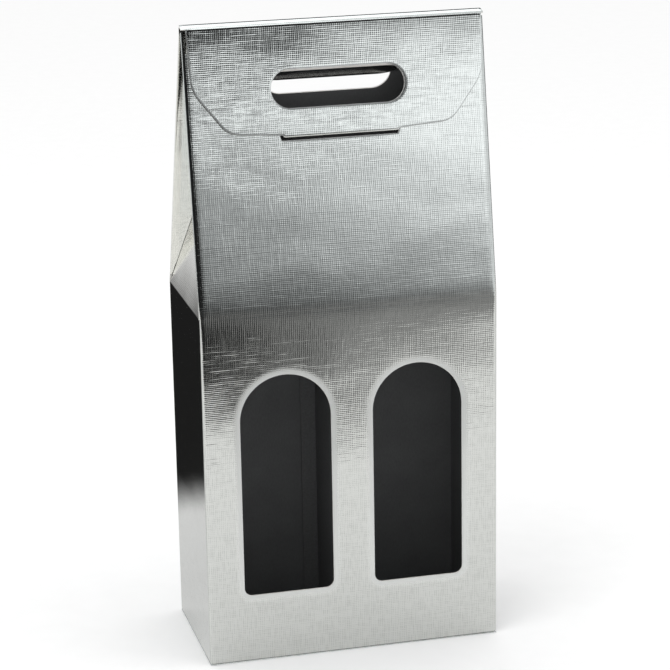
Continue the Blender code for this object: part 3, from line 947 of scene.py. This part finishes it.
def closing_flap():
    right = [(HALF_WIDTH - FLAP_TOP_INSET, 0.0, 0.0),
             (HALF_WIDTH - FLAP_SHOULDER_INSET, FLAP_SHOULDER, SHOULDER_RADIUS),
             (HALF_WIDTH - FLAP_HIP_INSET, FLAP_HIP, HIP_RADIUS),
             (TAB_WIDTH / 2 + TAB_END_CLEARANCE, FLAP_EDGE, 0.0)]
    corners = [corner(x, y, radius=radius, press=EDGE_PRESS) for x, y, radius in right]
    corners.append(crease(TAB_WIDTH / 2, FLAP_LENGTH, RIGHT_ANGLE, TAB_BEND))
    corners.append(corner(-TAB_WIDTH / 2, FLAP_LENGTH, press=EDGE_PRESS))
    corners += [corner(-x, y, radius=radius, press=EDGE_PRESS) for x, y, radius in reversed(right)]
    corners[-1] = crease(-right[0][0], 0.0, FLAP_LEAN - RIDGE_LEAN, FLAP_BEND)
    hole = stadium(HOLE_DROP, HOLE_LENGTH, HOLE_HEIGHT)
    # The flap's dark cut edges are painted shade.
    board("closing_flap_board", "flap", "closing_flap", corners,
          crease_frame(BACK, FLAP_LEAN, ridge_front), [hole], [GRIP_PRESS],
          uv_shift=(0.0, WALL_HEIGHT + FRONT_ROOF_LENGTH), uv_sign=-1.0, shift=-FLAP_SHIFT,
          core=shaded_core_material)


def tuck_tab():
    half = TAB_WIDTH / 2
    corners = [crease(-half, 0.0, RIGHT_ANGLE, TAB_BEND), corner(half, 0.0, press=EDGE_PRESS),
               corner(half - TAB_TAPER, TAB_LENGTH, radius=TAB_CORNER, press=EDGE_PRESS),
               corner(-half + TAB_TAPER, TAB_LENGTH, radius=TAB_CORNER, press=EDGE_PRESS)]
    board("tuck_tab_board", "tab", "tuck_tab", corners, crease_frame(BACK, TAB_LEAN, tab_crease),
          reach=NARROW_BANDS, uv_shift=(0.31, 0.14), shift=-FLAP_SHIFT)


def hand_hole_tab():
    length = HOLE_LENGTH - 2 * HOLE_TAB_CLEARANCE
    height = HOLE_HEIGHT - 2 * HOLE_TAB_CLEARANCE
    outline = stadium(-HOLE_HEIGHT / 2, length, height)
    corners = [corner(p.x, p.y, press=EDGE_PRESS) for p in outline]
    hinge = crease_at["hand_hole_crease"]
    push = next(joint for joint in frame["joints"] if joint["name"] == "hand_hole_crease")
    turn = math.radians(push["range_deg"][1])
    matrix = crease_frame(FRONT, FRONT_LEAN, hinge) @ Matrix.Rotation(turn, 4, "X")
    # The tab's darkened foil is painted shade.
    board("hand_hole_tab_board", "hand_hole_tab", "hand_hole_tab", corners, matrix, face=BOARD,
          reach=NARROW_BANDS, foil=shaded_foil_material, uv_shift=(0.12, 0.41))


def gusset_triangle(side):
    name = SIDE_NAME[side] + "_gusset_triangle"
    stack = 2 * FOLD_AXIS
    front_low = HALF_DEPTH - stack / math.cos(FRONT_LEAN) - CLOSE
    back_low = HALF_DEPTH - stack / math.cos(BACK_LEAN) - CLOSE
    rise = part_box(name)[1].z - WALL_HEIGHT
    top = rise / math.cos(GUSSET_LEAN)
    front_high = front_low - rise * math.tan(FRONT_LEAN)
    back_high = back_low - rise * math.tan(BACK_LEAN)
    points = [(-back_low, 0.0), (front_low, 0.0), (front_high, top), (-back_high, top)]
    if side == RIGHT:
        points = [(-x, y) for x, y in (points[1], points[0], points[3], points[2])]
    corners = [corner(x, y) for x, y in points]
    corners[0] = crease(*points[0], GUSSET_LEAN, GUSSET_BEND)
    # The triangle's lighter foil is painted light.
    board(name + "_board", SIDE_NAME[side] + "_gusset", name, corners,
          crease_frame(SIDE[side], GUSSET_LEAN, (side * HALF_WIDTH, 0.0, WALL_HEIGHT)),
          reach=SLIM_BANDS, foil=lit_triangle_foil_material,
          uv_shift=(side * HALF_ROUND, WALL_HEIGHT))


def gusset_leaf(side, where, lean):
    """Leaf of a gusset, doubled back behind the turned edge of a roof panel."""
    name = SIDE_NAME[side] + "_gusset_" + where + "_leaf"
    mirror = side if where == "front" else -side
    heading = FRONT if where == "front" else BACK
    at = (0.0, -HALF_DEPTH if where == "front" else HALF_DEPTH, WALL_HEIGHT)
    roof_frame = crease_frame(heading, lean, at)
    hinge = Matrix.Translation((mirror * (HALF_WIDTH - FOLD_AXIS), 0.0, -FOLD_AXIS))
    fold = Matrix.Rotation(mirror * math.pi, 4, "Y")
    matrix = roof_frame @ hinge @ fold
    local = [matrix.inverted() @ vert.co for vert in frame["nodes"][name].data.vertices]
    low = min(p.y for p in local)
    top = max(p.y for p in local)
    wide = max(mirror * p.x for p in local)
    edge = -mirror * FOLD_AXIS
    points = [(edge, low), (edge + mirror * LEAF_TUCK, low), (mirror * (wide + LEAF_TUCK), top),
              (edge, top)]
    if mirror < 0:
        points.reverse()
    corners = [corner(x, y) for x, y in points]
    for i, (x, y) in enumerate(points):
        if x == edge and points[(i + 1) % 4][0] == edge:
            corners[i]["edge"] = "turned"
    body = SIDE_NAME[side] + "_" + where + "_leaf"
    # The leaf's lighter foil is painted light.
    board(name + "_board", body, name, corners, matrix, face=FOLD_AXIS, reach=NO_BANDS,
          foil=lit_leaf_foil_material, uv_shift=(side * 0.2 + 0.05, 0.02 if where == "front" else 0.1),
          lift=lambda p: -mirror * LEAF_SPRING * p.x)


def ear(side):
    """Turned edge of the front roof panel beside the closing flap, up to the ridge."""
    top = FRONT_ROOF_LENGTH - EAR_DROP
    low = FRONT_ROOF_LENGTH - FRONT_PANEL_DROP
    width = FLAP_TOP_INSET - 2 * TOUCH
    bm = bmesh.new()
    uv_layer = bm.loops.layers.uv.new("board")
    section = []
    for step in range(EAR_STEPS + 1):
        share = step / EAR_STEPS
        inset = width * (1.0 - math.cos(share * RIGHT_ANGLE))
        depth = FOLD_AXIS * turn_profile(np.array([1.0 - inset / TURN_WIDTH]))[0]
        section.append((side * (HALF_WIDTH - inset), -depth))
    section.append((side * (HALF_WIDTH - width), -BOARD))
    rows = [[bm.verts.new((x, y, z)) for x, z in section] for y in (low, top)]
    count = len(section)
    for i in range(count):
        j = (i + 1) % count
        bm.faces.new((rows[0][i], rows[0][j], rows[1][j], rows[1][i]))
    bm.faces.new(rows[0])
    bm.faces.new(list(reversed(rows[1])))
    bmesh.ops.recalc_face_normals(bm, faces=bm.faces)
    for item in bm.faces:
        item.smooth = True
        for loop in item.loops:
            loop[uv_layer].uv = (loop.vert.co.x, loop.vert.co.y + WALL_HEIGHT)
    mesh = mesh_of("ear", bm, EAR_SHARP)
    mesh.materials.append(foil_material)
    made = linked("front_roof_" + SIDE_NAME[side] + "_turned_edge", mesh)
    made.matrix_world = crease_frame(FRONT, FRONT_LEAN, (0.0, -HALF_DEPTH, WALL_HEIGHT))
    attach(made, "front_roof")


def roof():
    front_roof()
    back_roof()
    ridge()
    closing_flap()
    tuck_tab()
    hand_hole_tab()
    for side in (LEFT, RIGHT):
        gusset_triangle(side)
        gusset_leaf(side, "front", FRONT_LEAN)
        gusset_leaf(side, "back", BACK_LEAN)
        ear(side)


# Inner pieces and the base keep their own shape and get a finish

def inner_pieces():
    names = ["glue_flap", "base_left_flap", "base_left_glue_corner", "base_right_flap",
             "base_right_glue_corner", "bottle_divider"]
    for name in names:
        finish(name, inner_material)
    for name in ("base_front_panel", "base_back_panel"):
        finish(name, base_material)


def finish(name, chosen):
    node = frame["nodes"][name]
    node.data.materials.clear()
    node.data.materials.append(chosen)


box_walls()
roof()
inner_pieces()


# Camera, at the photograph's place
CAMERA_AT = Vector((-0.35651, -1.43007, 0.61767))
CAMERA_FORWARD = Vector((0.23342, 0.93085, -0.28113))
CAMERA_ROLL = math.radians(-1.026)
CAMERA_LENS = 136.35


def camera():
    right = CAMERA_FORWARD.cross(Vector((0.0, 0.0, 1.0))).normalized()
    up = right.cross(CAMERA_FORWARD)
    tilted = right * math.cos(CAMERA_ROLL) + up * math.sin(CAMERA_ROLL)
    upright = tilted.cross(CAMERA_FORWARD)
    data = bpy.data.cameras.new("camera")
    data.lens = CAMERA_LENS
    data.sensor_width = 36.0
    data.clip_end = 50.0
    made = linked("camera", data)
    rotation = Matrix((tilted, upright, -CAMERA_FORWARD)).transposed().to_4x4()
    made.matrix_world = Matrix.Translation(CAMERA_AT) @ rotation
    bpy.context.scene.camera = made


# Studio: a white table, a dark room past its rim and soft grey and white walls

STUDIO_RADIUS = 2.2

# Light of the studio walls by height angle, where the roof's left and right ends see them
WALLS_LEFT = [(0.0, 0.06), (4.0, 0.08), (7.9, 0.20), (10.8, 0.44), (14.1, 0.42), (18.2, 0.30),
              (19.6, 1.80), (21.4, 1.70), (22.2, 0.20), (23.0, 0.02), (56.0, 0.02), (63.0, 2.0),
              (90.0, 2.0)]
WALLS_RIGHT = [(0.0, 0.33), (7.9, 0.56), (10.8, 1.02), (14.1, 1.55), (16.5, 1.65), (22.5, 1.60),
               (24.5, 1.10), (26.5, 0.60), (28.5, 0.05), (56.0, 0.02), (63.0, 2.0), (90.0, 2.0)]
WALLS_BEHIND = [(0.0, 0.66), (8.0, 0.66), (26.0, 1.0), (36.0, 1.9), (90.0, 2.0)]
WALLS_PAST_RIDGE = [(0.0, 0.02), (26.0, 0.03), (35.0, 1.9), (90.0, 2.0)]
BRIGHTEST = 2.0

# Light of the dark floor past the table's rim, by compass angle from the front
ROOM_NEAR = [(-180.0, 0.015), (-60.0, 0.015), (0.0, 0.01), (5.0, 0.03), (12.0, 0.34), (25.0, 0.34),
             (60.0, 0.40), (100.0, 0.015)]
ROOM_FAR = [(-180.0, 0.66), (-90.0, 0.66), (-60.0, 0.08), (0.0, 0.08), (25.0, 0.30), (90.0, 0.66)]
TABLE_FRONT = [(-60.0, 0.45), (3.0, 0.49), (12.0, 0.435), (18.0, 0.51), (24.0, 0.61), (50.0, 0.80)]
RIM_WIDTH = [(0.0, 0.11), (12.0, 0.06), (24.0, 0.12)]
TABLE_BACK = 0.185
BACK_RIM_WIDTH = 0.11
SHADE_BEHIND = 0.22  # the table behind the carton is a little less bright
SHADE_EDGES = (-0.05, 0.10)
ROOM_EDGES = (1.0, 2.1)  # distances between which the near floor gives way to the far one

# Angles in degrees between which one part of the walls gives way to the next
LEFT_TO_RIGHT = (9.0, 21.0)
SLANT = 0.8  # how much the left dark part leans to the right with height
LEFT_DARK_INNER = (13.0, -2.0)
LEFT_DARK_OUTER = (-72.0, -58.0)
RIGHT_DARK = (68.0, 84.0)
DARK_TOP = (56.0, 46.0)
RIGHT_BRIGHT = (30.0, 42.0)
LEFT_BRIGHT = (-60.0, -75.0)
BEHIND = (125.0, 150.0)
PAST_RIDGE_START = (150.0, 160.0)
PAST_RIDGE_END = (177.0, 171.0)
DARK = 0.02
STUDIO_TINT = (0.965, 1.0, 1.03, 1.0)
WHITE = (1.0, 1.0, 1.0, 1.0)
FLOOR_DARK = (0.93, 0.93, 0.93, 1.0)
FLOOR_LIGHT = (0.96, 0.96, 0.96, 1.0)
FLOOR_RADIUS = 15.0
FLOOR_HEIGHT = -0.0003
ROOM_HEIGHT = -0.0001  # the dark floor lies between the carton and the pale floor
LAMP_AIM = Vector((0.0, 0.0, 0.15))


def stage_object(name, mesh, made_material):
    mesh.materials.append(made_material)
    made = linked(name, mesh)
    return made


def disc(name, radius, height, made_material):
    bm = bmesh.new()
    bmesh.ops.create_circle(bm, cap_ends=True, radius=radius, segments=64)
    made = stage_object(name, mesh_of(name, bm), made_material)
    made.location.z = height
    return made


def floor():
    n = Nodes("pale_floor")
    tone = n.tone(n.grain(60.0), FLOOR_DARK, FLOOR_LIGHT)
    n.shader.inputs["Specular IOR Level"].default_value = 0.0
    disc("floor", FLOOR_RADIUS, FLOOR_HEIGHT, n.surface(tone, 0.9))


def replace_shader(n, output):
    n.tree.links.new(output, n.tree.nodes["Material Output"].inputs["Surface"])
    n.tree.nodes.remove(n.shader)


def glowing(n, tint, strength):
    return n.add("Emission", {"Color": tint, "Strength": strength}).outputs[0]


def seen_by_gloss_only(made):
    made.visible_camera = False
    made.visible_diffuse = False
    made.visible_transmission = False
    made.visible_volume_scatter = False
    made.visible_shadow = False


def profile(n, value, stops):
    """Level read from a table of (value, level) stops."""
    low = stops[0][0]
    high = stops[-1][0]
    node = n.add("ValToRGB", {"Fac": n.ramp(value, low, high, smooth=False)})
    elements = node.color_ramp.elements
    elements.remove(elements[1])
    elements[0].color = (stops[0][1] / BRIGHTEST,) * 3 + (1.0,)
    for at, level in stops[1:]:
        element = elements.new((at - low) / (high - low))
        element.color = (level / BRIGHTEST,) * 3 + (1.0,)
    return n.times(node.outputs["Color"], BRIGHTEST)


def mix(n, share, low, high):
    node = n.add("Mix", {"Factor": share, 2: low, 3: high}, data_type="FLOAT")
    return node.outputs[0]


def compass(n, x, y):
    """Compass angle from the front in degrees, positive to the right."""
    turn = n.math("ARCTAN2", x, n.times(y, -1.0))
    return n.times(turn, 180.0 / math.pi)


def surround():
    """Studio walls as the foil sees them. Directions are seen from the middle of the table."""
    n = Nodes("studio_walls")
    coords = n.add("TexCoord").outputs["Object"]
    unit = n.add("VectorMath", {0: coords}, operation="NORMALIZE").outputs[0]
    x, y, z = n.add("SeparateXYZ", {0: unit}).outputs
    turn = compass(n, x, y)
    rise = n.times(n.math("ARCSINE", z), 180.0 / math.pi)
    front = mix(n, n.ramp(turn, *LEFT_TO_RIGHT, smooth=False), profile(n, rise, WALLS_LEFT),
                profile(n, rise, WALLS_RIGHT))
    slanted = n.plus(turn, n.times(rise, SLANT))
    below = n.ramp(rise, *DARK_TOP)
    left = n.times(n.ramp(slanted, *LEFT_DARK_INNER), n.ramp(turn, *LEFT_DARK_OUTER))
    front = mix(n, n.times(left, below), front, DARK)
    front = mix(n, n.ramp(turn, *RIGHT_BRIGHT), front, 1.0)
    front = mix(n, n.ramp(turn, *LEFT_BRIGHT), front, 1.0)
    front = mix(n, n.times(n.ramp(turn, *RIGHT_DARK), below), front, DARK)
    past_ridge = n.times(n.ramp(turn, *PAST_RIDGE_START), n.ramp(turn, *PAST_RIDGE_END))
    back = mix(n, past_ridge, profile(n, rise, WALLS_BEHIND), profile(n, rise, WALLS_PAST_RIDGE))
    glow = mix(n, n.ramp(n.math("ABSOLUTE", turn), *BEHIND), front, back)
    replace_shader(n, glowing(n, STUDIO_TINT, glow))
    bm = bmesh.new()
    bmesh.ops.create_uvsphere(bm, u_segments=64, v_segments=32, radius=STUDIO_RADIUS)
    below_floor = [item for item in bm.faces if item.calc_center_median().z < 0.0]
    bmesh.ops.delete(bm, geom=below_floor, context="FACES")
    seen_by_gloss_only(stage_object("studio_walls", mesh_of("studio_walls", bm), n.material))


def dark_room():
    """Dark floor past the table's rim, as the foil sees it."""
    n = Nodes("dark_room_floor")
    coords = n.add("TexCoord").outputs["Object"]
    x, y, z = n.add("SeparateXYZ", {0: coords}).outputs
    turn = compass(n, x, y)
    past_rim = n.math("SUBTRACT", n.times(y, -1.0), profile(n, turn, TABLE_FRONT))
    past_rim = n.math("DIVIDE", past_rim, profile(n, turn, RIM_WIDTH))
    past_back = n.math("MAXIMUM", n.ramp(y, TABLE_BACK, TABLE_BACK + BACK_RIM_WIDTH),
                       n.ramp(y, *SHADE_EDGES, 0.0, SHADE_BEHIND))
    share = n.math("MAXIMUM", n.ramp(past_rim, 0.0, 1.0), past_back)
    far = n.add("VectorMath", {0: coords}, operation="LENGTH").outputs["Value"]
    glow = mix(n, n.ramp(far, *ROOM_EDGES), profile(n, turn, ROOM_NEAR),
               profile(n, turn, ROOM_FAR))
    clear = n.add("BsdfTransparent").outputs[0]
    mixed = n.add("MixShader", {0: share, 1: clear, 2: glowing(n, WHITE, glow)})
    replace_shader(n, mixed.outputs[0])
    seen_by_gloss_only(disc("dark_room_floor", STUDIO_RADIUS, ROOM_HEIGHT, n.material))


def world():
    made = bpy.data.worlds.new("studio")
    made.use_nodes = True
    background = made.node_tree.nodes["Background"]
    background.inputs["Color"].default_value = WHITE
    background.inputs["Strength"].default_value = 1.0
    bpy.context.scene.world = made


def lamp(name, at, size, power):
    data = bpy.data.lights.new(name, "AREA")
    data.shape = "DISK"
    data.size = size
    data.energy = power
    made = linked(name, data)
    made.location = at
    made.rotation_euler = (LAMP_AIM - Vector(at)).to_track_quat("-Z", "Y").to_euler()
    made.visible_glossy = False


camera()
floor()
surround()
dark_room()
world()
lamp("key", (-0.9, -0.8, 1.7), 1.2, 7.0)
lamp("fill", (1.2, -0.6, 1.3), 1.2, 3.0)

bpy.context.scene.view_settings.view_transform = "Standard"

bpy.context.view_layer.update()
